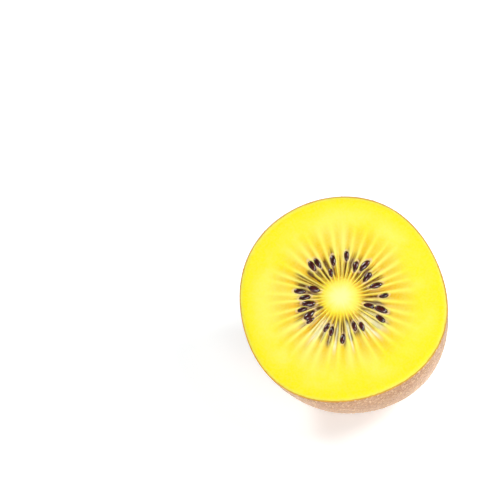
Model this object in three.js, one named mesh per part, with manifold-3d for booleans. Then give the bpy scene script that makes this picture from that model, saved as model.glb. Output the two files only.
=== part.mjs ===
// Half of a golden kiwi fruit, cut across its length and lying on its skin with the cut face
// tilted up and forwards. Millimetres, +Z up, the cut face leans towards -Y. The fruit grew as one
// piece, so it is one solid: the dome of skin, the cut face with its core, ribs and hollows, and the
// seeds that stand in the hollows.
import * as THREE from "three";
import { mergeVertices } from "three/addons/utils/BufferGeometryUtils.js";
import Module from "manifold-3d";

// The fruit, measured across the cut face and along the stalk.
const FACE_RADIUS = 27; // mean radius of the cut face
const DEPTH = 34; // from the cut face to the stalk end
const CUT_OFFSET = 0.11; // how far past the fruit's widest section the cut lies, as a share
const END_FULLNESS = 1.95; // 2 gives an elliptical side view, and more gives a blunter end
const LEAN_X = 0.149; // the knife went through aslant, so the stalk end is off the face's centre
const LEAN_Y = -0.132;

// The cut face isn't a circle: each swell adds its waves to the radius, and peaks at its angle.
const SWELLS = [
  { waves: 2, height: 0.0303, peak: -54.4 },
  { waves: 3, height: 0.0123, peak: -2.2 },
  { waves: 4, height: 0.0129, peak: -12.5 },
];

// Where the fruit rests.
const FACE_TILT = THREE.MathUtils.degToRad(31.4); // of the cut face, from level
const PRESSED_FLAT = 1; // how much of the round underside is flattened by the fruit's weight

// The cut face, with distances from its centre as shares of the face's radius.
const HOLLOWS = 38; // seed chambers, one between each two ribs
const CORE_EDGE = 0.18;
const HOLLOW_END = 0.56;
const CORE_RISE = 0.4; // the core stands this high
const HOLLOW_SINK = 0.6; // the hollows lie this low between their ribs
const RIB_WANDER = 0.3; // how far a rib strays from its even place, as a share of the spacing
const RIM_DROP = 0.3; // the edge of the flesh is rounded over by this

// The stalk end.
const DIMPLE_RADIUS = 5.5;
const DIMPLE_SINK = 1.3;
const SCAR_RADIUS = 2.4; // the woody round scar that the stalk leaves
const SCAR_RISE = 1.0;

// The seeds: long axis towards the core, set in the hollows.
const SEED_LENGTH = 3;
const SEED_WIDTH = 1.5;
const SEED_THICKNESS = 1.15;
const SEED_SIDES = 6;
const SEED_RINGS = 5;
const SEED_TAPER = 0.35; // how much narrower a seed is towards the core
const SEED_SHOWING = 0.15; // a seed's middle lies this far above the floor of its hollow
const SUNK_SHOWING = -0.25; // the same for a seed that the knife barely reached
const EMPTY_HOLLOWS = 0.16; // the share of the hollows where the knife met no seed
const PAIRED_HOLLOWS = 0.3; // the share where it may meet two, one behind the other
const SUNK_SEEDS = 0.28; // the share of the seeds that lie deep
const NEAREST_SEED = 0.3; // where the seeds of a hollow begin, as a share of the radius
const SEED_SPREAD = 0.14; // and how far on from there the outer one may lie
const PAIR_STEP = 0.095; // from an outer seed to the one behind it
const PAIR_SPREAD = 0.025;
const CLEAR_OF_CORE = 0.235; // no seed's middle lies nearer than this
const SIDE_STRAY = 0.08; // how far a seed strays to the side, as an angle
const TWIST_STRAY = 0.6; // how far its long axis turns from the ray
const PITCH_STRAY = 0.3; // how far it dips
const SIZE_STRAY = 0.4; // how much the seeds differ in size

// Which series of draws each thing takes its chance from.
const DRAWS = {
  rib: 379,
  count: 2661,
  share: 5326,
  inner: 1816,
  side: 3282,
  sunk: 3220,
  size: 5496,
  twist: 7,
  pitch: 11,
};

// How finely the body is divided.
const SIDES = 2 * HOLLOWS; // a point on each rib and one in each hollow
const FACE_RINGS = [0.06, 0.12, CORE_EDGE, 0.22, 0.27, 0.33, 0.39, 0.45, 0.51, 0.58, 0.74, 0.9, 0.96, 1];
const DOME_RINGS = 14;
const CAP_START = 0.3; // the stalk end has rings of its own inside this share of the radius
const CAP_RINGS = [0.24, 0.19, 0.15, 0.12, 0.1, 0.078, 0.045];

const { smoothstep, lerp } = THREE.MathUtils;

// A number from 0 to 1 that looks random and is always the same for the same index and use.
function draw(index, use) {
  const x = Math.sin(index * 127.1 + use * 311.7) * 43758.5453;
  return x - Math.floor(x);
}

// The cut face's radius at an angle, as a share of the mean radius.
function swell(angle) {
  const raised = SWELLS.map(({ waves, height, peak }) =>
    height * Math.cos(waves * (angle - THREE.MathUtils.degToRad(peak))));
  return 1 + raised.reduce((a, b) => a + b);
}

// The angle of rib number n; whole numbers are ribs, and halves are the middles of hollows.
function ribAngle(n) {
  const stray = (k) => RIB_WANDER * (draw(((k % HOLLOWS) + HOLLOWS) % HOLLOWS, DRAWS.rib) - 0.5);
  const low = Math.floor(n);
  return ((n + lerp(stray(low), stray(low + 1), n - low)) * 2 * Math.PI) / HOLLOWS;
}

// How much of the ribs' relief shows at a share of the radius.
function ribbed(share) {
  return smoothstep(share, CORE_EDGE - 0.03, CORE_EDGE + 0.03) * (1 - smoothstep(share, 0.4, HOLLOW_END));
}

// The height of the cut face; along is the rib number, where halves are the middles of hollows.
function faceHeight(share, along) {
  const core = CORE_RISE * (1 - smoothstep(share, CORE_EDGE * 0.5, CORE_EDGE + 0.03));
  const trough = 0.5 - 0.5 * Math.cos(2 * Math.PI * along);
  const rim = RIM_DROP * smoothstep(share, 0.93, 1) ** 2;
  return core - HOLLOW_SINK * ribbed(share) * trough - rim;
}

// The dome's radius at a depth from 0 at the cut to 1 at the stalk end, as a share of the face's.
function domeShare(depth) {
  const along = CUT_OFFSET + (1 - CUT_OFFSET) * depth;
  return Math.sqrt(Math.max(0, 1 - along ** END_FULLNESS) / (1 - CUT_OFFSET ** END_FULLNESS));
}

// The depth at which the dome has a share of the face's radius: the reverse of domeShare.
function domeDepth(share) {
  const along = (1 - share ** 2 * (1 - CUT_OFFSET ** END_FULLNESS)) ** (1 / END_FULLNESS);
  return (along - CUT_OFFSET) / (1 - CUT_OFFSET);
}

// The stalk end's dimple, less the scar that stands up in the middle of it.
function stalkEnd(radius) {
  const dimple = DIMPLE_SINK * Math.exp(-((radius / DIMPLE_RADIUS) ** 2) * 2.5);
  return dimple - SCAR_RISE * (1 - smoothstep(radius, SCAR_RADIUS * 0.85, SCAR_RADIUS * 1.15));
}

// The fruit's side view, from the middle of the cut face out to its edge and round to the stalk end.
// x is the share of the radius and y the depth, both to be worked into millimetres by shapeBody.
function sideView() {
  const profile = [new THREE.Vector2(0, 0), ...FACE_RINGS.map((share) => new THREE.Vector2(share, 0))];
  const turnAtCut = Math.asin(CUT_OFFSET);
  const turnAtCap = Math.asin(CUT_OFFSET + (1 - CUT_OFFSET) * domeDepth(CAP_START));
  for (let i = 1; i <= DOME_RINGS; i++) {
    const along = Math.sin(lerp(turnAtCut, turnAtCap, i / DOME_RINGS));
    const depth = (along - CUT_OFFSET) / (1 - CUT_OFFSET);
    profile.push(new THREE.Vector2(domeShare(depth), -depth));
  }
  for (const share of CAP_RINGS) profile.push(new THREE.Vector2(share, -domeDepth(share)));
  profile.push(new THREE.Vector2(0, -1));
  return profile;
}

// Takes a lathed side view, whose axis is y, to the fruit's own form in millimetres, whose axis is z.
function shapeBody(geometry) {
  const at = geometry.getAttribute("position");
  for (let i = 0; i < at.count; i++) {
    const share = Math.hypot(at.getX(i), at.getZ(i));
    const turn = Math.atan2(at.getZ(i), at.getX(i)) + 2 * Math.PI;
    const depth = -at.getY(i);
    const onFace = depth === 0;
    const along = (turn * HOLLOWS) / (2 * Math.PI);
    const angle = onFace ? lerp(turn, ribAngle(along), 1 - smoothstep(share, HOLLOW_END, 0.9)) : turn;
    const radius = FACE_RADIUS * share * lerp(1, swell(angle), smoothstep(share, 0, 0.5));
    const height = onFace
      ? faceHeight(share, along)
      : -DEPTH * depth - RIM_DROP * (1 - depth) + stalkEnd(radius) * smoothstep(depth, 0.8, 0.9);
    at.setXYZ(
      i,
      radius * Math.cos(angle) + LEAN_X * DEPTH * depth,
      radius * Math.sin(angle) + LEAN_Y * DEPTH * depth,
      height,
    );
  }
  return geometry;
}

// The places of the seeds. Most hollows show a seed where the knife met one, some two and some none.
function seedPlaces() {
  const stray = (hollow, use, width) => width * (draw(hollow, use) - 0.5);
  const places = [];
  for (let hollow = 0; hollow < HOLLOWS; hollow++) {
    const count = draw(hollow, DRAWS.count);
    if (count <= EMPTY_HOLLOWS) continue;
    const shares = [NEAREST_SEED + SEED_SPREAD * draw(hollow, DRAWS.share)];
    const behind = shares[0] - PAIR_STEP - PAIR_SPREAD * draw(hollow, DRAWS.inner);
    if (count > 1 - PAIRED_HOLLOWS && behind > CLEAR_OF_CORE) shares.push(behind);
    shares.forEach((share, k) => places.push({
      angle: ribAngle(hollow + 0.5) + stray(hollow, DRAWS.side + k, SIDE_STRAY),
      share,
      twist: stray(hollow, DRAWS.twist + k, TWIST_STRAY),
      pitch: stray(hollow, DRAWS.pitch + k, PITCH_STRAY),
      size: 1 + stray(hollow, DRAWS.size + k, SIZE_STRAY),
      showing: draw(hollow, DRAWS.sunk + k) < SUNK_SEEDS ? SUNK_SHOWING : SEED_SHOWING,
    }));
  }
  return places;
}

// One seed: a ball drawn out along its length, narrower towards the core.
function seedGeometry({ angle, share, twist, pitch, size, showing }) {
  const seed = new THREE.SphereGeometry(0.5, SEED_SIDES, SEED_RINGS);
  seed.rotateZ(Math.PI / 2);
  const at = seed.getAttribute("position");
  for (let i = 0; i < at.count; i++) {
    const x = at.getX(i);
    const narrowing = 1 + SEED_TAPER * x;
    at.setXYZ(
      i,
      x * SEED_LENGTH * size,
      at.getY(i) * SEED_WIDTH * size * narrowing,
      at.getZ(i) * SEED_THICKNESS * size * narrowing,
    );
  }
  const radius = FACE_RADIUS * share * lerp(1, swell(angle), smoothstep(share, 0, 0.5));
  seed.rotateY(pitch);
  seed.rotateZ(angle + twist);
  return seed.translate(
    radius * Math.cos(angle),
    radius * Math.sin(angle),
    faceHeight(share, 0.5) + showing,
  );
}

const wasm = await Module();
wasm.setup();

// A three.js geometry as a manifold-3d solid, for joining and cutting.
function solidOf(geometry) {
  const bare = geometry.clone().deleteAttribute("normal").deleteAttribute("uv");
  const merged = mergeVertices(bare, 1e-4);
  return new wasm.Manifold(new wasm.Mesh({
    numProp: 3,
    vertProperties: merged.getAttribute("position").array,
    triVerts: new Uint32Array(merged.index.array),
  }));
}

// A manifold-3d solid as a three.js geometry.
function geometryOf(solid) {
  const mesh = solid.getMesh();
  const geometry = new THREE.BufferGeometry();
  geometry.setAttribute("position", new THREE.BufferAttribute(mesh.vertProperties, 3));
  geometry.setIndex(new THREE.BufferAttribute(mesh.triVerts, 1));
  geometry.computeVertexNormals();
  return geometry;
}

// Joins the seeds to the body, lays the fruit down and flattens the small spot that it rests on.
function buildHalf() {
  const body = shapeBody(new THREE.LatheGeometry(sideView(), SIDES));
  let fruit = solidOf(body);
  for (const place of seedPlaces()) fruit = fruit.add(solidOf(seedGeometry(place)));

  const laid = geometryOf(fruit).rotateX(FACE_TILT);
  laid.computeBoundingBox();
  const { min, max } = laid.boundingBox;
  laid.translate(-(min.x + max.x) / 2, -(min.y + max.y) / 2, -min.z - PRESSED_FLAT);

  const size = 4 * FACE_RADIUS;
  const below = new THREE.BoxGeometry(size, size, size).translate(0, 0, -size / 2);
  return geometryOf(solidOf(laid).subtract(solidOf(below)));
}

const flesh = new THREE.MeshStandardMaterial({ color: 0xf6e23a, roughness: 0.45, metalness: 0 });
const half = new THREE.Mesh(buildHalf(), flesh);
half.name = "kiwi_half";

const kiwi = new THREE.Group();
kiwi.name = "golden_kiwi";
kiwi.add(half);

export default kiwi;
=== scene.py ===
# %% [markdown]
# Half of a golden kiwi fruit lies on its skin, with the cut face tilted towards us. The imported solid
# gives its form and its place. Every piece below is a finer surface that follows the same form, so
# this first cell only loads the frame and notes the box that all of them have to stay in.

import bpy
import numpy as np
from mathutils import Matrix, Vector


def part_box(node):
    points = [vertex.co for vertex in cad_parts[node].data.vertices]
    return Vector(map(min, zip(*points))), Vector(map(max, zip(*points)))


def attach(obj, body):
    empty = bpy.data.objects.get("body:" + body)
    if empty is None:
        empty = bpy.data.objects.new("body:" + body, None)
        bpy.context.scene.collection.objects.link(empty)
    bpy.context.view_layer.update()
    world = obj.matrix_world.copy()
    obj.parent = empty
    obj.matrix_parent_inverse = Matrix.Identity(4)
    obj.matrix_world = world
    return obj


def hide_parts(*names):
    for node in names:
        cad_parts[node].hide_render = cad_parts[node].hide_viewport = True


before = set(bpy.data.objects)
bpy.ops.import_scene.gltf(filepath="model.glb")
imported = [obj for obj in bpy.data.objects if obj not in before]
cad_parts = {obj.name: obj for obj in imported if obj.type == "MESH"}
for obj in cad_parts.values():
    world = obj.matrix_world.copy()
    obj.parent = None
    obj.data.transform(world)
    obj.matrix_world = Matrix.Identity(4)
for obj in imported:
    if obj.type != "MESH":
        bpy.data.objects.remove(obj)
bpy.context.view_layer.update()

NODE = "kiwi_half"
BODY = "root"
MM = 0.001
node_low, node_high = (np.array(corner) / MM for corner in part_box(NODE))
print("solid, mm:", (node_high - node_low).round(1))

# %% [markdown]
# A kiwi is nearly an ellipsoid, but not quite: its section swells at a few angles, the knife went
# through it a little aslant, and the half leans back on its round side. These are the measures of
# the form, in millimetres, with the same meaning as in the part. Lengths on the cut face are shares
# of its radius, so that a ring of the face keeps its place when the fruit is larger.

# %% Measures of the fruit
FACE_RADIUS = 27.0  # mean radius of the cut face
DEPTH = 34.0  # from the cut to the far end
CUT_OFFSET = 0.11  # from the widest section to the cut, as a share of half the fruit's length
END_FULLNESS = 1.95  # 2 makes the end of an ellipsoid, and more a blunter one
LEAN_X, LEAN_Y = 0.149, -0.132  # how far the far end lies to the side, as shares of the depth
SWELLS = [(2, 0.0303, -54.4), (3, 0.0123, -2.2), (4, 0.0129, -12.5)]  # waves, height, peak in degrees
SWELLS_FULL = 0.5  # share of the radius at which the swells have grown in
FACE_TILT = np.radians(31.4)  # of the cut face from level, towards -Y
SKIN = 0.32  # thickness of the skin
DIMPLE_RADIUS, DIMPLE_SINK = 5.5, 1.3  # of the dimple at the far end
SCAR_RADIUS, SCAR_RISE = 2.4, 1.0  # of the stalk's scar in it
print("half fruit, mm:", 2 * FACE_RADIUS, "by", DEPTH)

# %% Measures of the cut face
HOLLOWS = 38  # seed hollows, with a rib between each two
RIB_WANDER = 0.3  # how far a rib strays, as a share of the step from rib to rib
CORE_EDGE = 0.18  # where the core ends
HOLLOW_FADE, HOLLOW_END = 0.4, 0.56  # where the hollows begin to fade, and where they end
RIM_START = 0.93  # where the rim begins to round off
CORE_RISE, HOLLOW_SINK, RIM_DROP = 0.4, 0.6, 0.3  # in mm
print("ribs on the face:", HOLLOWS)

# %% Measures of the seeds
SEED_LENGTH, SEED_WIDTH, SEED_THICKNESS = 3.0, 1.5, 1.15
SEED_SHOWING = 0.15  # height of a bare seed's middle over its hollow
SEED_TAPER = 0.35  # how much narrower its inner end is than its outer one
SEED_FULLNESS = 0.85  # 1 makes its outline an ellipse, and less a fuller one
EMPTY_HOLLOWS, PAIRED_HOLLOWS, SUNK_SEEDS = 0.16, 0.3, 0.28  # shares of the hollows and the seeds
NEAREST_SEED, SEED_SPREAD = 0.3, 0.14  # where a hollow's first seed lies
PAIR_STEP, PAIR_SPREAD = 0.095, 0.025  # how far inside it the second lies
CLEAR_OF_CORE = 0.235  # and no nearer to the middle than this
SIDE_STRAY, TWIST_STRAY, PITCH_STRAY = 0.08, 0.6, 0.3  # in radians, from end to end
SIZE_STRAY = 0.4
print("seed, mm:", SEED_LENGTH, SEED_WIDTH, SEED_THICKNESS)

# %% [markdown]
# Chance has to fall the same way on every run, so every draw is a fixed formula: the fractional part
# of a large multiple of a sine. Each use has a number of its own, and the first nine are the part's,
# so that ribs and seeds lie where the solid has them. Smooth chance, for grain and mottling, takes
# such draws at the corners of a lattice and blends between them, for whole arrays at once.

# %% Chance
DRAWS = dict(
    rib=379, count=2661, share=5326, inner=1816, side=3282, sunk=3220, size=5496, twist=7, pitch=11,
    wisps=21, streaks=22, clouds=23, spikes=24, wobble=25,
    ray_reach=31, ray_width=32, ray_strength=33, gel_end=34, gel_strength=35,
    gold_strength=36, spike_strength=37, core_stray=38, wedge=84,
    fibres=41, lumps=42, broad_bumps=51, fine_bumps=52, wrinkles=61, cracks=62,
    fleck_depth=71, fleck_turn=72, fleck_heading=73, fleck_size=74,
    hair_reach=81, hair_side=82, hair_length=83,
)


def draw(index, use, extra=0):
    """The fractional part of sin(127.1 index + 311.7 n) times 43758.5453, where n is the use's
    number plus extra, which is 1 for the second seed of a hollow."""
    wave = np.sin(np.asarray(index) * 127.1 + (DRAWS[use] + extra) * 311.7) * 43758.5453
    return wave - np.floor(wave)


print("a few draws:", draw(np.arange(4), "rib").round(3))


# %% Blending
def smoothstep(low, high, x):
    """0 below low, 1 above high, and 3 t^2 - 2 t^3 between them."""
    t = np.clip((x - low) / (high - low), 0, 1)
    return t * t * (3 - 2 * t)


def lerp(a, b, t):
    """The value a share t of the way from a to b."""
    return a + (b - a) * t


def bell(x, middle, width):
    """exp(-((x - middle) / width)^2), which is 1 at the middle and falls off on both sides."""
    return np.exp(-(((x - middle) / width) ** 2))


def grain(x, y, use, wrap):
    """Smooth chance from -1 to 1: draws at whole x and y, blended by a smoothstep between them. x
    comes round to its start after wrap whole steps."""
    x0, y0 = np.floor(x), np.floor(y)
    tx, ty = smoothstep(0, 1, x - x0), smoothstep(0, 1, y - y0)

    def corner(i, j):
        return draw(np.mod(x0 + i, wrap) + 57.31 * (y0 + j), use)

    low = lerp(corner(0, 0), corner(1, 0), tx)
    high = lerp(corner(0, 1), corner(1, 1), tx)
    return 2 * lerp(low, high, ty) - 1


print("smooth chance:", grain(np.arange(4) / 2, np.zeros(4), "wisps", 9).round(3))

# %% [markdown]
# Two surfaces make the form. The cut face is a sheet on polar coordinates: a share of the radius,
# and a count along the ribs, where whole numbers are ribs and halves are the middles of the seed
# hollows. It could be a flat disc with painted ribs, but real ribs and hollows catch the light.

# %% Form of the cut face
def swell(angle):
    """1 plus a cosine for each swell, which peaks at its own angle."""
    return 1 + sum(height * np.cos(waves * (angle - np.radians(peak))) for waves, height, peak in SWELLS)


def rib_angle(along):
    """Even spacing, moved by a stray that is drawn at each rib and blended between ribs."""
    low = np.floor(along)
    stray = [RIB_WANDER * (draw(np.mod(low + k, HOLLOWS), "rib") - 0.5) for k in (0, 1)]
    return (along + lerp(*stray, along - low)) * 2 * np.pi / HOLLOWS


def face_angle(share, along):
    """The drawn rib angle near the core, and an even turn near the skin."""
    even = along * 2 * np.pi / HOLLOWS
    return lerp(even, rib_angle(along), 1 - smoothstep(HOLLOW_END, 0.9, share))


def face_radius(share, angle):
    """The share of the mean radius, with the swells growing in over the inner part."""
    return FACE_RADIUS * share * lerp(1, swell(angle), smoothstep(0, SWELLS_FULL, share))


def face_height(share, along):
    """A raised core, less a cosine trough in each hollow, less the rounding of the rim."""
    core = CORE_RISE * (1 - smoothstep(CORE_EDGE * 0.5, CORE_EDGE + 0.03, share))
    ribbed = smoothstep(CORE_EDGE - 0.02, CORE_EDGE + 0.07, share)
    ribbed = ribbed * (1 - smoothstep(HOLLOW_FADE, HOLLOW_END, share))
    trough = 0.5 - 0.5 * np.cos(2 * np.pi * along)
    return core - HOLLOW_SINK * ribbed * trough - RIM_DROP * smoothstep(RIM_START, 1, share) ** 2


def face_points(share, along, height):
    """Polar coordinates on the cut face, with the given height."""
    angle = face_angle(share, along)
    radius = face_radius(share, angle)
    return np.stack([radius * np.cos(angle), radius * np.sin(angle), height + 0 * radius], -1)


print("heights in a hollow, mm:", face_height(np.linspace(0, 1, 6), 0.5).round(2))

# %% [markdown]
# The second surface is the dome, the round side under the skin: a sheet on depth and turn, with an
# ellipse's curve that is a little less full at the end. The stalk end is pressed in, in a dimple.

# %% Form of the dome
def dome_share(depth):
    """The radius as a share of the face's: the square root of 1 - u^f, where u runs from the cut's
    offset to 1 and f is the end's fullness, divided by its value at the cut."""
    along = CUT_OFFSET + (1 - CUT_OFFSET) * depth
    return np.sqrt(np.maximum(0, 1 - along**END_FULLNESS) / (1 - CUT_OFFSET**END_FULLNESS))


def dome_depth(share):
    """The depth at which the dome has that share of the radius: dome_share turned round."""
    along = (1 - share**2 * (1 - CUT_OFFSET**END_FULLNESS)) ** (1 / END_FULLNESS)
    return (along - CUT_OFFSET) / (1 - CUT_OFFSET)


def dome_points(depth, turn, inset=0.0):
    """A ring of the dome's radius at each depth, leaning off the axis as it goes down, with a
    bell-shaped dimple at the stalk end, and taken in by inset."""
    radius = face_radius(dome_share(depth), turn)
    dimple = DIMPLE_SINK * np.exp(-((radius / DIMPLE_RADIUS) ** 2) * 2.5) * smoothstep(0.8, 0.9, depth)
    scale = 1 - inset / FACE_RADIUS
    height = -(DEPTH - inset) * depth - RIM_DROP * (1 - depth) + dimple
    x = radius * scale * np.cos(turn) + LEAN_X * DEPTH * depth
    y = radius * scale * np.sin(turn) + LEAN_Y * DEPTH * depth
    return np.stack([x, y, height + 0 * x], -1)


def far_end(inset=0.0):
    """The one point of the dome at its full depth."""
    return dome_points(np.array(1.0), np.array(0.0), inset)


print("far end, mm:", far_end().round(2))

# %% [markdown]
# Both surfaces are made in the face's own upright frame and then laid down together: turned by the
# tilt, moved so that they fill the solid's box, and pressed flat where the half rests.

# %% Laying the form down
def turned(a, b, angle):
    """Two coordinates after a turn in their plane: a cos - b sin, and a sin + b cos."""
    return a * np.cos(angle) - b * np.sin(angle), a * np.sin(angle) + b * np.cos(angle)


def tilt(points):
    """Turned about X by the face's tilt."""
    x, y, z = np.moveaxis(points, -1, 0)
    return np.stack([x, *turned(y, z, FACE_TILT)], -1)


def turns(count):
    """Angles that go once round, without the repeat of the first."""
    return np.arange(count) * 2 * np.pi / count


outline = tilt(dome_points(np.linspace(0, 1, 200)[:, None], turns(360)[None, :]).reshape(-1, 3))
SHIFT = np.append(
    ((node_low + node_high) - (outline.min(0) + outline.max(0)))[:2] / 2,
    node_high[2] - outline[:, 2].max(),
)


def lay_down(points, lowest=0.0):
    """Tilted, moved into the solid's box, and pressed flat at the lowest height that it may have."""
    placed = tilt(points) + SHIFT
    placed[..., 2] = np.maximum(placed[..., 2], lowest)
    return placed


face_centre = lay_down(np.zeros(3))
print("shift, mm:", SHIFT.round(2), "face centre:", face_centre.round(2))
print("pressed flat by, mm:", -(outline[:, 2] + SHIFT[2]).min().round(2))

# %% [markdown]
# Every surface here is a stack of closed rings, with a pole at each end. One function turns such a
# stack into a mesh: quads between neighbouring rings, and a fan of triangles round each pole.

# %% From rings to faces
def closed_faces(rows, columns):
    """The quads and the triangles of a body with a pole as its first point, then rings, then a pole
    as its last. Each point's neighbour in its ring is one further, and the last's is the first."""
    here = np.arange(columns)
    there = (here + 1) % columns
    row = np.arange(rows - 1)[:, None] * columns + 1
    quads = np.stack([row + here, row + columns + here, row + columns + there, row + there], -1)
    last_ring, last_pole = 1 + (rows - 1) * columns, 1 + rows * columns
    first_fan = np.stack([np.zeros(columns, int), 1 + here, 1 + there], -1)
    last_fan = np.stack([np.full(columns, last_pole), last_ring + there, last_ring + here], -1)
    return quads.reshape(-1, 4), np.concatenate([first_fan, last_fan])


def body_points(first_pole, rings, last_pole):
    """The poles and rings as one list of points, in the order that closed_faces reads."""
    return np.concatenate([np.reshape(part, (-1, 3)) for part in (first_pole, rings, last_pole)])


print("faces of 3 rings of 8 points:", [len(part) for part in closed_faces(3, 8)])

# %% [markdown]
# A stack may run up or down, so its faces may all point inwards. The volume that they enclose tells:
# where it comes out negative, every face is turned round. Small bodies that repeat, such as seeds,
# go into one mesh together. Values that a material needs at each point, such as how much of a rib
# there is, go in as colour attributes.

# %% From faces to a piece
def enclosed_volume(points, quads, triangles):
    """A sixth of the sum of a . (b x c) over all triangles, a quad being two. It is positive where
    the faces point outwards."""
    corners = np.concatenate([quads[:, [0, 1, 2]], quads[:, [0, 2, 3]], triangles])
    a, b, c = (points[corners[:, k]] - points.mean(0) for k in range(3))
    return np.sum(a * np.cross(b, c)) / 6


def make_piece(name, bodies, rows, columns, material):
    """A smooth mesh from bodies of rings, in an array of body, point and coordinate in millimetres.
    Each has the same faces, counted on from its own first point. The piece rides on the fruit."""
    quads, triangles = closed_faces(rows, columns)
    first = (np.arange(len(bodies)) * bodies.shape[1])[:, None, None]
    quads, triangles = (quads + first).reshape(-1, 4), (triangles + first).reshape(-1, 3)
    points = bodies.reshape(-1, 3)
    volume = enclosed_volume(points, quads, triangles)
    if volume < 0:
        quads, triangles = quads[:, ::-1], triangles[:, ::-1]
    mesh = bpy.data.meshes.new(name)
    faces = [*quads.tolist(), *triangles.tolist()]
    mesh.from_pydata(points * MM, [], faces)
    mesh.polygons.foreach_set("use_smooth", np.ones(len(faces), bool))
    mesh.materials.append(material)
    mesh.update()
    piece = bpy.data.objects.new(name, mesh)
    bpy.context.scene.collection.objects.link(piece)
    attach(piece, BODY)
    print(f"{name}: {2 * len(quads) + len(triangles)} triangles round {abs(volume):.2f} cubic mm")
    return piece


def paint(piece, name, channels):
    """Three values at each point, kept as a colour attribute that a material can read."""
    attribute = piece.data.color_attributes.new(name, "FLOAT_COLOR", "POINT")
    values = np.ones((len(piece.data.vertices), 4), np.float32)
    values[:, :3] = channels
    attribute.data.foreach_set("color", values.ravel())


print("mesh helpers ready")

# %% [markdown]
# A finish is a small tree of nodes in front of one glossy or matt shader. These helpers keep the
# trees short. Noise is made in the object's own coordinates, so that a pattern stays on the fruit
# from every side.

# %% Materials and nodes
def new_material(name, roughness, **constants):
    """A material with its shader's constant sockets set, and its node tree and shader."""
    material = bpy.data.materials.new(name)
    material.use_nodes = True
    tree = material.node_tree
    shader = tree.nodes["Principled BSDF"]
    shader.inputs["Roughness"].default_value = roughness
    for socket, value in constants.items():
        shader.inputs[socket.replace("_", " ")].default_value = value
    print("finish:", name)
    return material, tree, shader


def add_node(tree, kind, inputs=None, **settings):
    """A node with its settings, and each input set to a value or linked from a socket."""
    made = tree.nodes.new(kind)
    for key, value in settings.items():
        setattr(made, key, value)
    for key, value in (inputs or {}).items():
        if isinstance(value, bpy.types.NodeSocket):
            tree.links.new(value, made.inputs[key])
        else:
            made.inputs[key].default_value = value
    return made


def maths(tree, operation, a, b):
    """One sum on two values."""
    return add_node(tree, "ShaderNodeMath", {0: a, 1: b}, operation=operation).outputs[0]


def ramp(tree, value, low, high, at_low=0.0, at_high=1.0):
    """A value stretched smoothly, so that low gives at_low and high gives at_high."""
    limits = {"From Min": low, "From Max": high, "To Min": at_low, "To Max": at_high}
    stretched = add_node(tree, "ShaderNodeMapRange", {"Value": value, **limits},
                         interpolation_type="SMOOTHSTEP")
    return stretched.outputs["Result"]


def raise_bumps(tree, shader, height, depth_mm, strength):
    """Fine relief that only bends the light: height from 0 to 1 stands for depth_mm."""
    bump = add_node(tree, "ShaderNodeBump",
                    {"Height": height, "Distance": depth_mm * MM, "Strength": strength})
    tree.links.new(bump.outputs["Normal"], shader.inputs["Normal"])


print("node helpers ready")


# %% Colours and patterns
def colour(red, green, blue):
    """A colour as seen on a screen, from 0 to 255, as the linear light that a shader works in."""
    screen = np.array([red, green, blue]) / 255
    linear = np.where(screen <= 0.04045, screen / 12.92, ((screen + 0.055) / 1.055) ** 2.4)
    return (*linear.tolist(), 1.0)


def blend(tree, mask, under, over):
    """The colour under, covered by the colour over where the mask is 1."""
    return add_node(tree, "ShaderNodeMix", {0: mask, 6: under, 7: over}, data_type="RGBA").outputs[2]


def masks(tree, name):
    """The three values that paint stored under that name."""
    stored = add_node(tree, "ShaderNodeAttribute", attribute_name=name)
    parts = add_node(tree, "ShaderNodeSeparateColor", {"Color": stored.outputs["Color"]})
    return [parts.outputs[channel] for channel in ("Red", "Green", "Blue")]


def noise(tree, features_per_mm, detail=3.0, low=0.35, high=0.65):
    """Noise on object coordinates, stretched so that low is 0 and high is 1."""
    place = add_node(tree, "ShaderNodeTexCoord").outputs["Object"]
    cloud = add_node(tree, "ShaderNodeTexNoise",
                     {"Vector": place, "Scale": features_per_mm / MM, "Detail": detail})
    return ramp(tree, cloud.outputs["Fac"], low, high)


print("mid grey, linear:", round(colour(128, 128, 128)[0], 3))

# %% [markdown]
# The seeds sit in the hollows, long axis towards the core. Most hollows have one, some two and some
# none, and a third of them lie just under the surface, as shades in the gel. The places come first,
# because the flesh needs them too: it swells a little round each seed.

# %% Where the seeds lie
def seed_places():
    """Draws for each hollow: how many seeds, their share of the radius, size, turn and depth."""
    hollow = np.arange(HOLLOWS)
    count = draw(hollow, "count")
    first = NEAREST_SEED + SEED_SPREAD * draw(hollow, "share")
    behind = first - PAIR_STEP - PAIR_SPREAD * draw(hollow, "inner")
    any_seed = count > EMPTY_HOLLOWS
    two_seeds = (count > 1 - PAIRED_HOLLOWS) & (behind > CLEAR_OF_CORE)
    chosen = np.concatenate([hollow[any_seed], hollow[two_seeds]])
    second = np.repeat([0, 1], [any_seed.sum(), two_seeds.sum()])

    def stray(use, width):
        return width * (draw(chosen, use, second) - 0.5)

    angle = rib_angle(chosen + 0.5) + stray("side", SIDE_STRAY)
    return dict(
        share=np.concatenate([first[any_seed], behind[two_seeds]]),
        angle=angle,
        turn=angle + stray("twist", TWIST_STRAY),
        pitch=stray("pitch", PITCH_STRAY),
        size=1 + stray("size", SIZE_STRAY),
        sunk=draw(chosen, "sunk", second) < SUNK_SEEDS,
    )


seeds = seed_places()
seed_radius = face_radius(seeds["share"], seeds["angle"])
seed_x, seed_y = seed_radius * np.cos(seeds["angle"]), seed_radius * np.sin(seeds["angle"])
print("seeds:", len(seeds["sunk"]), "of them sunk:", seeds["sunk"].sum())

# %% [markdown]
# The flesh is the piece that everyone looks at, so the cut face is a dense polar grid with real
# relief: the part's own core, ribs and rim, then fine fibres that run out from the core, and a
# collar of gel round each seed. The masks for the finish are worked out on the same grid, from each
# point's place in its hollow and its distance from the seeds.

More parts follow.
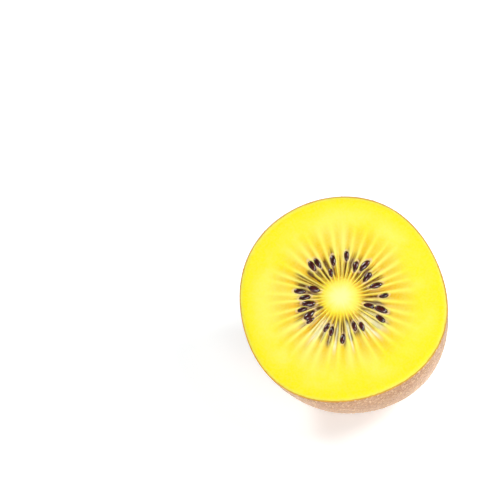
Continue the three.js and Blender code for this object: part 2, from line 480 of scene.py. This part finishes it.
# %% Grid of the cut face
POINTS_PER_HOLLOW = 20
COLUMNS = HOLLOWS * POINTS_PER_HOLLOW
FACE_BANDS = [(0, 0.16, 12), (0.16, 0.6, 64), (0.6, 1, 34)]  # from, to, rings with both ends
face_shares = np.concatenate([np.linspace(*ends)[1:] for ends in FACE_BANDS])
share, along = np.meshgrid(face_shares, np.arange(COLUMNS) / POINTS_PER_HOLLOW, indexing="ij")
face_flat = face_points(share, along, 0)
to_hollow = np.abs(along - np.floor(along) - 0.5) * 2  # 0 in the middle of a hollow, 1 on a rib
by_rib = np.mod(np.round(along), HOLLOWS)
by_hollow = np.mod(np.floor(along), HOLLOWS)
print("grid of the face:", share.shape)


# %% How far each point is from the seeds
def seed_distance(sunk):
    """For each point of the face, the least elliptical distance to a bare seed, or to a sunk one: 1
    on the seed's outline, 0 at its middle."""
    nearest = np.full(share.shape, 9.0)
    for k in np.flatnonzero(seeds["sunk"] == sunk):
        dx, dy = face_flat[..., 0] - seed_x[k], face_flat[..., 1] - seed_y[k]
        long, wide = turned(dx, dy, -seeds["turn"][k])
        size = seeds["size"][k]
        distance = np.hypot(long / (SEED_LENGTH / 2 * size), wide / (SEED_WIDTH / 2 * size))
        nearest = np.minimum(nearest, distance)
    return nearest


to_seed, to_sunk = seed_distance(False), seed_distance(True)
print("points under bare seeds:", (to_seed < 1).sum())

# %% [markdown]
# No two ribs of a fruit look alike. Their differences are of two kinds: a value drawn once for each
# rib or hollow, such as its reach, and a smooth grain over the whole face, such as the fine streaks
# that run out from the core. Pale wedges and spikes show only towards the front of the face: partly
# pale tissue of the wet flesh, partly a painted highlight there.

# %% Chance on the cut face
FRONT_ANGLE = np.radians(-65)


def face_grain(use, per_rib, per_radius):
    """Smooth chance over the face, with so many draws to each rib and so many along the radius."""
    return grain(along * per_rib, share * per_radius, use, HOLLOWS * per_rib)


def varied(place, use, least, most=1.0):
    """A value from least to most, drawn for each rib or hollow."""
    return least + (most - least) * draw(place, use)


def band(start, full, fading, end, stray=0.0):
    """0 up to the share start, 1 from full to fading, and 0 from end on. The stray moves its inner
    side in and out."""
    return smoothstep(start, full, share + stray) * (1 - smoothstep(fading, end, share))


wisps = face_grain("wisps", 3, 10)
streaks = face_grain("streaks", 7, 4)
clouds = face_grain("clouds", 0.5, 6)
wobble = 0.008 * face_grain("wobble", 2, 0) + 0.006 * draw(by_rib, "core_stray")
front = 0.5 + 0.5 * np.cos(face_angle(share, along) - FRONT_ANGLE)
print("streaks up to", streaks.max().round(2))


# %% Masks of the ribs and fibres, and of the pale wedges with their painted highlight
# The spikes are short sharp fibres: the peaks of a fine grain, in the ring of the hollows.
spikes = smoothstep(0.2, 0.7, face_grain("spikes", 5, 3)) * band(0.2, 0.28, 0.38, 0.56)


def pale_and_highlight_mask():
    """In some hollows at the front a pale wedge, strongest in the middle, and elsewhere there the
    spikes: partly pale tissue, partly a painted highlight on the front of the face."""
    wedge = (1 - smoothstep(0.1, 0.6, to_hollow + 0.2 * wisps)) * smoothstep(0.6, 0.9, front)
    wedge = wedge * band(0.21, 0.3, 0.42, 0.6) * (draw(by_hollow, "wedge") > 0.6)
    return np.maximum(wedge * (0.9 + 0.4 * streaks), 0.7 * spikes * smoothstep(0.5, 0.9, front))


def ray_mask():
    """A bell across each rib, which widens outwards, with a width, strength and reach of its own,
    and the spikes where they are stronger."""
    width = 0.09 + 0.17 * draw(by_rib, "ray_width") ** 2 + 0.22 * smoothstep(0.3, 0.8, share)
    reach = varied(by_rib, "ray_reach", 0.58, 0.84)
    rays = bell(1 - to_hollow, 0, 2 * width) * varied(by_rib, "ray_strength", 0.45)
    rays = rays * band(0.17, 0.26, reach - 0.3, reach + 0.05)
    return np.maximum(rays, 0.8 * spikes * varied(by_hollow, "spike_strength", 0.35))


# pale wedges and spikes: partly pale tissue, partly a painted highlight on the front of the face
pale_and_highlight = pale_and_highlight_mask()
print("mean of the spikes:", spikes.mean().round(3))


# %% Masks of the gel, the gold and the seeds
def gel_mask():
    """The middle of each hollow, out to an end of its own, in streaks, and thinner under spikes and
    wedges."""
    deep = 1 - smoothstep(0.45, 1.0, to_hollow + 0.25 * wisps)
    end = varied(by_hollow, "gel_end", 0.37, 0.47)
    gel = deep * band(0.17, 0.29, end - 0.05, end + 0.07, wobble)
    gel = gel * varied(by_hollow, "gel_strength", 0.55) * (1.05 + 0.2 * front + 1.3 * streaks)
    return gel * (1 - 0.7 * spikes) * (1 - 0.9 * pale_and_highlight)


def gold_mask():
    """A wedge between each two ribs, from the core to well past the hollows, in clouds."""
    gold = (1 - smoothstep(0.3, 1.1, to_hollow)) * band(0.135, 0.21, 0.44, 0.78, wobble)
    return gold * varied(by_hollow, "gold_strength", 0.75, 1.05) * (0.85 + 0.3 * clouds)


drawn_masks = dict(
    core=1 - smoothstep(0.03, 0.185, share + 0.01 * wisps + wobble),
    gel=gel_mask(),
    ray=ray_mask(),
    gold=gold_mask(),
    ring=bell(to_seed, 1.2, 0.18) * (0.5 + 0.6 * wisps),  # a pale line round each bare seed
    shade=(1 - smoothstep(0.55, 1.2, to_sunk)) * (0.95 + 0.35 * streaks),  # the dark of a sunk seed
    # partly pale tissue, partly a painted highlight on the front of the face
    pale_and_highlight=pale_and_highlight,
    rim=smoothstep(0.75, 0.97, share),
    inner=1 - smoothstep(0.34, 0.46, share),
    edge=smoothstep(0.972, 0.99, share),  # a fine line beside the skin
)
face_masks = {name: np.clip(mask, 0, 1) for name, mask in drawn_masks.items()}
print("mean of each mask:", {name: float(mask.mean().round(3)) for name, mask in face_masks.items()})

# %% [markdown]
# Ripe flesh is wet and lets light a little way in, which rounds off its shadows. The shader has that
# scatter, with a thin clear coat for the juice. Its colour is lemon yellow, paler along the ribs,
# golden in the wedges between them, brown in the gel and cream in the core. Each of these is laid
# over the last through its mask, so the ribs lie over the gel as they do in the fruit.

# %% Colours of the flesh
LEMON, PALE_LEMON = colour(255, 239, 44), colour(255, 244, 96)
FLESH_LAYERS = dict(  # from the lowest to the highest
    rim=colour(255, 238, 20),
    edge=colour(252, 238, 84),
    gold=colour(242, 184, 8),
    shade=colour(80, 32, 18),
    gel=colour(106, 60, 2),
    ray=colour(255, 247, 126),
    # colour of the pale wedges and spikes, partly a painted highlight
    pale_and_highlight=colour(255, 250, 208),
    core=colour(255, 254, 165),
    ring=colour(246, 214, 172),
)
INNER_RAY = colour(248, 226, 118)  # of the ribs, where the inner mask is 1
CELL = colour(255, 252, 170)
STORED_MASKS = dict(
    zones=("core", "gel", "ray"),
    marks=("gold", "ring", "shade"),
    # the fibres attribute holds the pale wedges and spikes, partly a painted highlight
    fibres=("pale_and_highlight", "pale_and_highlight", "pale_and_highlight"),
    edge=("rim", "inner", "edge"),
)
print("layers of colour:", len(FLESH_LAYERS))

# %% Finish of the flesh
FLESH_ROUGHNESS = 0.4
GEL_GLOSS = 0.2  # how much smoother the gel is
CELL_COVER = 0.1  # how strongly the cell grain shows in the colour


def flesh_finish():
    """Yellow, covered in turn by each layer's colour, with fine cell grain in colour and relief."""
    material, tree, shader = new_material(
        "Golden Flesh", FLESH_ROUGHNESS,
        Subsurface_Weight=0.3, Subsurface_Scale=0.45 * MM, Subsurface_Radius=(1.0, 0.8, 0.25),
        Coat_Weight=0.12, Coat_Roughness=0.2, IOR=1.33, Specular_IOR_Level=0.25,
    )
    mask = {}
    for attribute, names in STORED_MASKS.items():
        mask.update(zip(names, masks(tree, attribute)))
    layers = {**FLESH_LAYERS, "ray": blend(tree, mask["inner"], FLESH_LAYERS["ray"], INNER_RAY)}
    base = blend(tree, noise(tree, 0.09), LEMON, PALE_LEMON)
    for name, layer in layers.items():
        base = blend(tree, mask[name], base, layer)
    cells = noise(tree, 1.6, 2.0, 0.3, 0.7)
    base = blend(tree, maths(tree, "MULTIPLY", cells, CELL_COVER), base, CELL)
    tree.links.new(base, shader.inputs["Base Color"])
    wet = maths(tree, "MULTIPLY", mask["gel"], -GEL_GLOSS)
    tree.links.new(maths(tree, "ADD", wet, FLESH_ROUGHNESS), shader.inputs["Roughness"])
    raise_bumps(tree, shader, cells, 0.05, 0.35)
    return material


golden_flesh = flesh_finish()

# %% [markdown]
# The body of the flesh is one closed surface. It starts at the middle of the core, goes out over the
# face and its relief to the rim, and then down the dome to the far end. It reaches a little way into
# the skin, so that no gap can show between the two.

# %% Relief of the cut face
FIBRE_RISE, LUMP_RISE = 0.03, 0.02  # in mm, as the next three are
COLLAR_RISE = 0.14  # of the gel round a bare seed
SWELLING_RISE = 0.22  # of the flesh over a sunk seed
SOCKET_SINK = 0.1  # how far a bare seed's socket lies below its hollow


def face_relief():
    """The part's height plus fibres, lumps, collars and swellings, and in place of all of them a
    flat socket under each bare seed."""
    fibres = face_grain("fibres", 5, 5) * smoothstep(0.15, 0.3, share)
    height = face_height(share, along) + FIBRE_RISE * fibres + LUMP_RISE * face_grain("lumps", 1, 24)
    height = height + COLLAR_RISE * bell(to_seed, 1.15, 0.3)
    height = height + SWELLING_RISE * (1 - smoothstep(0.2, 1.3, to_sunk))
    return lerp(height, -HOLLOW_SINK - SOCKET_SINK, 1 - smoothstep(0.75, 1.0, to_seed))


relief = face_relief()
print("relief from", relief.min().round(2), "to", relief.max().round(2), "mm")


# %% Body of the flesh
FLESH_INSET = SKIN * 0.8
FLESH_DOME_ROWS = 10


def make_flesh():
    """The face with its relief, drawn in a little towards the rim, then the dome taken in by as
    much, with its rows closer together near the end."""
    face = face_points(share, along, relief)
    face[..., :2] *= (1 - FLESH_INSET / FACE_RADIUS * smoothstep(0.9, 1, share))[..., None]
    depths = np.sin(np.linspace(0, np.pi / 2, FLESH_DOME_ROWS + 2))[1:-1, None]
    rings = np.concatenate([face, dome_points(depths, turns(COLUMNS)[None, :], FLESH_INSET)])
    middle = [0, 0, face_height(0.0, 0.0)]
    points = lay_down(body_points(middle, rings, far_end(FLESH_INSET)), FLESH_INSET)
    return make_piece("kiwi_flesh", points[None], len(rings), COLUMNS, golden_flesh)


def paint_flesh(flesh):
    """Each mask at the middle, on the face's grid and on the dome: core and inner are 1 at the
    middle, rim is 1 on the dome, and the rest are 0 at both."""
    below = len(flesh.data.vertices) - 1 - share.size

    def everywhere(name):
        middle, dome = float(name in ("core", "inner")), float(name == "rim")
        return np.concatenate([[middle], face_masks[name].ravel(), np.full(below, dome)])

    for attribute, names in STORED_MASKS.items():
        paint(flesh, attribute, np.stack([everywhere(name) for name in names], -1))


flesh = make_flesh()
paint_flesh(flesh)
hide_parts(NODE)

# %% [markdown]
# A seed is a small ovoid, narrower towards the core, almost black and glossy with a trace of
# maroon. Each is a stack of rings like the body, and all of them go into one mesh.

# %% Finish of the seeds
SEED_BLACK, SEED_MAROON = colour(42, 3, 4), colour(82, 16, 10)


def seed_finish():
    """Maroon black with a wet coat, and a fine net of pits."""
    material, tree, shader = new_material(
        "Black Seed", 0.35, Coat_Weight=0.95, Coat_Roughness=0.17, Coat_IOR=1.65, IOR=1.3)
    base = blend(tree, noise(tree, 1.2), SEED_BLACK, SEED_MAROON)
    tree.links.new(base, shader.inputs["Base Color"])
    place = add_node(tree, "ShaderNodeTexCoord").outputs["Object"]
    pits = add_node(tree, "ShaderNodeTexVoronoi", {"Vector": place, "Scale": 5 / MM})
    raise_bumps(tree, shader, pits.outputs["Distance"], 0.05, 0.4)
    return material


black_seed = seed_finish()


# %% Bare seeds
SEED_ROWS, SEED_COLUMNS = 15, 20


def unit_seed():
    """A seed of length, width and thickness 1: x is -cos(u) / 2, and the radius of the section is
    sin(u) to the power of the fullness, by a factor that grows away from the core, halved."""
    u = (np.arange(1, SEED_ROWS + 1) * np.pi / (SEED_ROWS + 1))[:, None]
    v = turns(SEED_COLUMNS)[None, :]
    section = 0.5 * np.sin(u) ** SEED_FULLNESS
    narrowing = 1 - SEED_TAPER / 2 * np.cos(u)
    y, z = section * np.cos(v) * narrowing, section * np.sin(v) * narrowing
    return body_points([-0.5, 0, 0], np.stack([-0.5 * np.cos(u) + 0 * v, y, z], -1), [0.5, 0, 0])


def make_seeds():
    """The unit seed scaled to each bare seed's size, pitched, turned, and moved to its hollow."""
    bare = np.flatnonzero(~seeds["sunk"])
    unit, size = unit_seed(), seeds["size"][bare, None]
    x, y, z = (unit[None, :, axis] * size * measure
               for axis, measure in enumerate((SEED_LENGTH, SEED_WIDTH, SEED_THICKNESS)))
    z, x = turned(z, x, seeds["pitch"][bare, None])
    x, y = turned(x, y, seeds["turn"][bare, None])
    height = face_height(seeds["share"][bare], 0.5) + SEED_SHOWING
    points = np.stack([x + seed_x[bare, None], y + seed_y[bare, None], z + height[:, None]], -1)
    return make_piece("kiwi_seeds", lay_down(points), SEED_ROWS, SEED_COLUMNS, black_seed)


make_seeds()

# %% [markdown]
# The skin is thinner than a fingernail. It shows as a fine brown line round the cut face and covers
# the whole dome, so it is a closed shell: the dome's surface outside, the same taken in by the
# skin's thickness inside, and a narrow rim between them. Its outside has low bumps in the mesh, and
# their height is a function of its own, because the flecks that come later have to follow them.

# %% Relief of the skin
BROAD_BUMPS, FINE_BUMPS = 0.05, 0.03  # heights in mm
BUMPS_ROUND = 60  # broad bumps in one turn
BUMPS_DOWN = 14  # broad bumps in one radian from the cut down
FINER = 4  # fine bumps to a broad one
BUMPS_GROWN = 0.03  # share of the depth over which the bumps grow in from the cut
STEP = 1e-3  # of depth and of turn, for the normal


def skin_points(depth, turn):
    """The dome pushed out along its normal by smooth chance at two sizes, which fades in at the cut.
    The normal is the cross product of two short steps on the dome, one down and one round."""
    low, high = np.maximum(depth - STEP, 0), np.minimum(depth + STEP, 1)
    down = dome_points(high, turn) - dome_points(low, turn)
    across = dome_points(depth, turn + STEP) - dome_points(depth, turn - STEP)
    normal = np.cross(down, across)
    normal = normal / np.maximum(np.linalg.norm(normal, axis=-1, keepdims=True), 1e-12)
    x = turn * BUMPS_ROUND / (2 * np.pi)
    y = np.arcsin(np.minimum(CUT_OFFSET + (1 - CUT_OFFSET) * depth, 1)) * BUMPS_DOWN
    bumps = BROAD_BUMPS * grain(x, y, "broad_bumps", BUMPS_ROUND)
    bumps = bumps + FINE_BUMPS * grain(x * FINER, y * FINER, "fine_bumps", BUMPS_ROUND * FINER)
    raised = bumps * smoothstep(0, BUMPS_GROWN, depth)
    return dome_points(depth, turn) + normal * raised[..., None], normal


print("skin's normal near the cut:", skin_points(np.array([0.02]), np.array([0.0]))[1].round(2))

# %% [markdown]
# The skin is dry and tan, in soft patches of two sizes, and dusted with down too short to see hair
# by hair. Sheen gives what such down does: it lightens the skin where it turns away from the eye.

# %% Finish of the skin
TAN, DARK_TAN = colour(178, 122, 76), colour(162, 103, 58)
MOTTLE = colour(200, 150, 106)
CUT_EDGE = colour(226, 166, 52)
DOWN_SHEEN = colour(255, 232, 212)


def skin_finish():
    """Tan brown, mottled at two sizes, golden at the cut, dusted with sheen."""
    material, tree, shader = new_material(
        "Brown Skin", 0.62, Sheen_Weight=1.0, Sheen_Roughness=0.35, Sheen_Tint=DOWN_SHEEN, IOR=1.4)
    base = blend(tree, noise(tree, 0.08), TAN, DARK_TAN)
    base = blend(tree, noise(tree, 0.7, 5.0, 0.4, 0.8), base, MOTTLE)
    cut, _, _ = masks(tree, "edge")
    base = blend(tree, cut, base, CUT_EDGE)
    tree.links.new(base, shader.inputs["Base Color"])
    raise_bumps(tree, shader, noise(tree, 2.5, 4.0), 0.08, 0.5)
    return material


brown_skin = skin_finish()


# %% Shell of the skin
SKIN_ROWS, SKIN_COLUMNS, LINING_ROWS = 150, 480, 12
CUT_LINE = 0.012  # share of the depth over which the colour of the cut fades


def make_skin():
    """The skin's outside from the pole to the cut, then its lining back to the pole."""
    angle = np.linspace(np.pi / 2, np.arcsin(CUT_OFFSET), SKIN_ROWS + 1)[1:, None]
    depth = (np.sin(angle) - CUT_OFFSET) / (1 - CUT_OFFSET)
    turn = turns(SKIN_COLUMNS)[None, :]
    outer, _ = skin_points(depth, turn)
    lining_depth = np.sin(np.linspace(0, np.pi / 2, LINING_ROWS + 1))[:-1, None]
    inner = dome_points(lining_depth, turn, SKIN)
    rings = np.concatenate([lay_down(outer), lay_down(inner, SKIN)])
    points = body_points(lay_down(far_end()), rings, lay_down(far_end(SKIN), SKIN))
    skin = make_piece("kiwi_skin", points[None], len(rings), SKIN_COLUMNS, brown_skin)
    cut = (1 - smoothstep(0, CUT_LINE, depth + 0 * turn)).ravel()
    cut = np.concatenate([[0], cut, np.ones(LINING_ROWS * SKIN_COLUMNS + 1)])
    paint(skin, "edge", np.repeat(cut[:, None], 3, 1))
    return skin


skin = make_skin()
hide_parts(NODE)

# %% [markdown]
# The skin is peppered with pale flecks, slightly raised and longer than they are wide, less than a
# millimetre apart. Painted dots would look flat in raking light, so each fleck is a small low lens
# of its own. A sunflower's spiral spreads them evenly: the next fleck is a golden angle further
# round, and as far down as gives each the same area. A stray in depth hides the spiral.

# %% Finish of the flecks
FLECK_PALE, FLECK_TAN = colour(242, 212, 174), colour(218, 176, 132)
FLECK_SHEEN = colour(252, 230, 212)


def fleck_finish():
    """Pale tan and dry, each fleck a little lighter or darker."""
    material, tree, shader = new_material(
        "Pale Fleck", 0.7, Sheen_Weight=0.6, Sheen_Roughness=0.4, Sheen_Tint=FLECK_SHEEN, IOR=1.4)
    base = blend(tree, noise(tree, 0.9, 2.0), FLECK_PALE, FLECK_TAN)
    tree.links.new(base, shader.inputs["Base Color"])
    return material


pale_fleck = fleck_finish()


# %% Flecks on the skin
FLECKS = 9000
FLECK_LENGTH, FLECK_WIDTH, FLECK_HEIGHT = 0.68, 0.42, 0.06
FLECK_SMALLEST = 0.45  # a fleck's size goes from this to 1 more
FLECK_SIDES = 8
DEPTH_STRAY = 200  # width of the stray in depth, in places of the spiral
TURN_STRAY = 0.05  # and in turn, in radians
FIRST_DEPTH, LAST_DEPTH = 0.006, 0.994  # none on the edge of the cut or on the pole
FLOOR_MARGIN = 0.25  # none on the flat spot, in mm
GOLDEN_ANGLE = np.pi * (3 - np.sqrt(5))


def along_skin(normal, heading):
    """A unit direction in the skin's plane for each point, turned by its heading from a first one,
    which is the cross product of the normal and a fixed direction."""
    first = np.cross(normal, [0.3, 0.5, 0.8])
    first = first / np.linalg.norm(first, axis=-1, keepdims=True)
    return np.cos(heading)[:, None] * first + np.sin(heading)[:, None] * np.cross(normal, first)


def fleck_places():
    """The index, middle and normal of each fleck: depth grows by one place of the spiral and turn
    by a golden angle, each with its stray."""
    index = np.arange(FLECKS)
    place = index + 0.5 + DEPTH_STRAY * (draw(index, "fleck_depth") - 0.5)
    depth = np.clip(place / FLECKS, FIRST_DEPTH, LAST_DEPTH)
    turn = index * GOLDEN_ANGLE + TURN_STRAY * (draw(index, "fleck_turn") - 0.5)
    middle, normal = skin_points(depth, np.mod(turn, 2 * np.pi))
    kept = lay_down(middle)[:, 2] > FLOOR_MARGIN
    return index[kept], middle[kept], normal[kept]


def make_flecks():
    """Lenses: an ellipse of points on the skin, turned at random in the skin's plane, with one
    point above its middle and one below it, in the skin."""
    index, middle, normal = fleck_places()
    long_way = along_skin(normal, np.pi * draw(index, "fleck_heading"))
    wide_way = np.cross(normal, long_way)
    size = (FLECK_SMALLEST + draw(index, "fleck_size") ** 2)[:, None]
    v = turns(FLECK_SIDES)[:, None]
    ring = (middle[:, None] + (long_way * size)[:, None] * (FLECK_LENGTH / 2 * np.cos(v))
            + (wide_way * size)[:, None] * (FLECK_WIDTH / 2 * np.sin(v)))
    high = normal * size * FLECK_HEIGHT
    points = np.concatenate([(middle + high)[:, None], ring, (middle - high)[:, None]], 1)
    print("flecks:", len(index))
    return make_piece("kiwi_flecks", lay_down(points), 1, FLECK_SIDES, pale_fleck)


make_flecks()

# %% [markdown]
# At the stalk end a round woody scar stands in a shallow dimple, where the fruit hung from its
# stalk. It has a raised rim, a sunken middle and fine cracks. As on a lathe, it is a stack of rings
# whose height is worked out from the radius, with smooth chance for the cracks. Its edge goes down
# into the skin.

# %% Finish of the scar
WOOD, PALE_WOOD, DARK_WOOD = colour(84, 56, 34), colour(146, 110, 74), colour(60, 38, 24)


def scar_finish():
    """Dark wood with paler patches and darker specks."""
    material, tree, shader = new_material("Stalk Scar", 0.85, IOR=1.4)
    base = blend(tree, noise(tree, 1.1, 5.0), WOOD, PALE_WOOD)
    base = blend(tree, noise(tree, 4.0, 3.0, 0.5, 0.7), base, DARK_WOOD)
    tree.links.new(base, shader.inputs["Base Color"])
    raise_bumps(tree, shader, noise(tree, 5.0, 4.0), 0.08, 0.6)
    return material


stalk_scar = scar_finish()


# %% Stalk scar
SCAR_ROWS, SCAR_COLUMNS = 44, 96
SCAR_EDGE = 1.3  # how far its sunken edge reaches, as a share of its radius
SCAR_ROOT = 0.5  # how deep its edge and its underside go, in mm
SCAR_RIM, SCAR_MIDDLE, WRINKLE_RISE, CRACK_RISE = 0.14, -0.38, 0.09, 0.05  # heights in mm
WRINKLES, CRACKS = 17, 44  # in one turn


def scar_rise(reach, turn):
    """How far the scar stands out of the skin: a step down at its edge, a bell for its rim and one
    for its middle, and two sizes of radial cracks. reach is the radius as a share of the scar's."""
    body = SCAR_RISE * (1 - smoothstep(0.88, 1.12, reach))
    rim = SCAR_RIM * bell(reach, 0.78, 0.14)
    middle = SCAR_MIDDLE * bell(reach, 0, 0.42)
    lines = WRINKLE_RISE * grain(turn * WRINKLES / (2 * np.pi), reach * 3, "wrinkles", WRINKLES)
    lines = lines + CRACK_RISE * grain(turn * CRACKS / (2 * np.pi), reach * 7, "cracks", CRACKS)
    sunk = -SCAR_ROOT * smoothstep(1.05, SCAR_EDGE, reach)
    return body + rim + middle + lines * smoothstep(0, 0.3, reach) + sunk


def make_scar():
    """Rings on the dome from the edge to the pole, raised by scar_rise, between a point inside the
    fruit and one at the pole."""
    reach = (SCAR_EDGE * np.arange(1, SCAR_ROWS + 1) / SCAR_ROWS)[::-1, None]
    turn = turns(SCAR_COLUMNS)[None, :]
    rings = dome_points(dome_depth(reach * SCAR_RADIUS / FACE_RADIUS) + 0 * turn, turn)
    rings[..., 2] -= scar_rise(reach, turn)
    inside = far_end() + [0, 0, DIMPLE_SINK + SCAR_ROOT]
    outside = far_end() - [0, 0, scar_rise(0.0, 0.0)]
    points = lay_down(body_points(inside, rings, outside))[None]
    return make_piece("kiwi_stalk_scar", points, SCAR_ROWS, SCAR_COLUMNS, stalk_scar)


make_scar()

# %% [markdown]
# Most of the down rubs off a golden kiwi, but short hairs stay round the scar, where nothing touches
# them. The export keeps no hair curves, so each hair is a thin tapering mesh with three sides. It
# stands up along the skin's normal and bows over to a side of its own.

# %% Finish of the hairs
STRAW, BROWN_STRAW = colour(196, 156, 108), colour(140, 98, 58)


def hair_finish():
    """Dry and straw brown."""
    material, tree, shader = new_material("Down", 0.6, IOR=1.45)
    base = blend(tree, noise(tree, 0.8, 2.0), STRAW, BROWN_STRAW)
    tree.links.new(base, shader.inputs["Base Color"])
    return material


down = hair_finish()


# %% Hairs round the scar
HAIRS = 900
HAIR_ROWS, HAIR_SIDES = 4, 3
HAIR_LENGTH, HAIR_WIDTH = 1.5, 0.06
HAIR_BOW = 0.6  # how far the tip goes to the side, as a share of the length
HAIR_TAPER = 0.8  # how much thinner the hair is towards its tip
HAIR_ROOT = 0.1  # how deep the roots go into the skin, in mm
HAIRS_FROM, HAIRS_REACH = 1.1, 2.2  # where they start, and how wide their ring is, in scar radii
CROWDING = 1.6  # more brings them closer to the scar


def make_hairs():
    """A centre line p = root + normal (t - t^2 / 4) L + side B t^2 L, with the length L and the bow
    B, and three points round it at each row, closer together towards the tip."""
    index = np.arange(HAIRS)
    reach = SCAR_RADIUS * (HAIRS_FROM + HAIRS_REACH * draw(index, "hair_reach") ** CROWDING)
    root, normal = skin_points(dome_depth(reach / FACE_RADIUS), np.mod(index * GOLDEN_ANGLE, 2 * np.pi))
    side = along_skin(normal, 2 * np.pi * draw(index, "hair_side"))[:, None, None]
    length = (HAIR_LENGTH * (0.5 + draw(index, "hair_length")))[:, None, None, None]
    t = (np.arange(HAIR_ROWS) / HAIR_ROWS)[None, :, None, None]
    root = (root - normal * HAIR_ROOT)[:, None, None]
    normal = normal[:, None, None]
    line = root + normal * length * (t - t**2 / 4) + side * length * HAIR_BOW * t**2
    v = turns(HAIR_SIDES)[None, None, :, None]
    round_line = side * np.cos(v) + np.cross(normal, side) * np.sin(v)
    rings = line + HAIR_WIDTH / 2 * (1 - HAIR_TAPER * t) * round_line
    tip = root + normal * length * 0.75 + side * length * HAIR_BOW
    points = np.concatenate([tip[:, 0], rings[:, ::-1].reshape(HAIRS, -1, 3), root[:, 0]], 1)
    return make_piece("kiwi_hairs", lay_down(points), HAIR_ROWS, HAIR_SIDES, down)


make_hairs()

# %% [markdown]
# The photograph's camera looked down on the face. Its place is given from the middle of the cut
# face, along the directions of the picture, so that the face lands where the photograph has it.

# %% Camera
ELEVATION, AZIMUTH = np.radians(38.6), np.radians(19.3)
FIELD_OF_VIEW = np.radians(18.0)
CAMERA_STEP = (-22.95, 11.92, 397.9)  # right, up and back from the middle of the cut face
level = np.cos(ELEVATION)

right = np.array([np.cos(AZIMUTH), np.sin(AZIMUTH), 0])
back = np.array([np.sin(AZIMUTH) * level, -np.cos(AZIMUTH) * level, np.sin(ELEVATION)])
up = np.cross(back, right)
camera = bpy.data.objects.new("camera", bpy.data.cameras.new("camera"))
camera.data.angle = FIELD_OF_VIEW
camera.data.clip_start, camera.data.clip_end = 0.01, 10
axes = Matrix((right, up, back)).transposed().to_4x4()
place = (face_centre + CAMERA_STEP @ np.array([right, up, back])) * MM
camera.matrix_world = Matrix.Translation(Vector(place)) @ axes
bpy.context.scene.collection.objects.link(camera)
bpy.context.scene.camera = camera
print("camera at, mm:", (place / MM).round(1))

# %% [markdown]
# A product photograph stands its object on white. A plain sheet would go grey away from the lamps,
# so the floor gives off a little light of its own, more of it further out.

# %% Floor
FLOOR_SIZE = 6.0  # in metres, as all measures of the studio are
GLOW_FROM, GLOW_TO = 0.25, 1.4  # distances between which the glow grows
GLOW_NEAR, GLOW_FAR = 0.36, 0.85  # its strengths there
FLOOR_WHITE, GLOW_WHITE = (0.93, 0.96, 0.97, 1), (0.95, 0.99, 1, 1)


def make_floor():
    """A wide flat sheet at the height that the fruit rests on, whose glow is worked out from the
    distance to the fruit."""
    half = FLOOR_SIZE / 2
    corners = [(-half, -half, 0), (half, -half, 0), (half, half, 0), (-half, half, 0)]
    mesh = bpy.data.meshes.new("floor")
    mesh.from_pydata(corners, [], [(0, 1, 2, 3)])
    material, tree, shader = new_material(
        "White Floor", 0.9, Base_Color=FLOOR_WHITE, Emission_Color=GLOW_WHITE)
    place = add_node(tree, "ShaderNodeTexCoord").outputs["Object"]
    distance = add_node(tree, "ShaderNodeVectorMath", {0: place}, operation="LENGTH").outputs["Value"]
    glow = ramp(tree, distance, GLOW_FROM, GLOW_TO, GLOW_NEAR, GLOW_FAR)
    tree.links.new(glow, shader.inputs["Emission Strength"])
    mesh.materials.append(material)
    floor = bpy.data.objects.new("floor", mesh)
    bpy.context.scene.collection.objects.link(floor)
    print("floor:", FLOOR_SIZE, "m wide")


make_floor()

# %% [markdown]
# Three soft lamps light the fruit: one from the right, one from the front and one from the left
# behind it. The cut face is nearly flat and wet, so none of them stands where the face would mirror
# it to the camera. A white sky, brightest near the floor, fills in the rest.

# %% Light
LAMPS = dict(  # place, size and power in watts
    key=((0.6, 0.1, 0.8), 0.36, 4.8),
    front=((0.35, -0.75, 0.6), 0.45, 4.1),
    edge=((-0.7, 0.28, 0.65), 0.32, 4.2),
)
AIM = Vector((0, 0, 0.02))  # near the middle of the fruit
HORIZON, OVERHEAD = 0.95, 0.08  # strengths of the sky
HORIZON_END, OVERHEAD_START = 0.05, 0.45  # the one holds up to here, the other from here up


def soft_light(name, position, size, power):
    """A square area light that faces the fruit."""
    lamp = bpy.data.lights.new(name, "AREA")
    lamp.shape, lamp.size, lamp.energy = "SQUARE", size, power
    light = bpy.data.objects.new(name, lamp)
    light.location = position
    light.rotation_euler = (AIM - Vector(position)).to_track_quat("-Z", "Y").to_euler()
    bpy.context.scene.collection.objects.link(light)


def studio_sky():
    """A white sky that is brightest near the floor and falls off smoothly with height."""
    world = bpy.data.worlds.new("studio")
    world.use_nodes = True
    tree = world.node_tree
    direction = add_node(tree, "ShaderNodeTexCoord").outputs["Generated"]
    height = add_node(tree, "ShaderNodeSeparateXYZ", {"Vector": direction}).outputs["Z"]
    background = tree.nodes["Background"]
    background.inputs["Color"].default_value = (1, 1, 1, 1)
    strength = ramp(tree, height, HORIZON_END, OVERHEAD_START, HORIZON, OVERHEAD)
    tree.links.new(strength, background.inputs["Strength"])
    bpy.context.scene.world = world


for name, (position, size, power) in LAMPS.items():
    soft_light(name, position, size, power)
studio_sky()
bpy.context.scene.view_settings.view_transform = "Standard"
print("lamps:", *LAMPS)
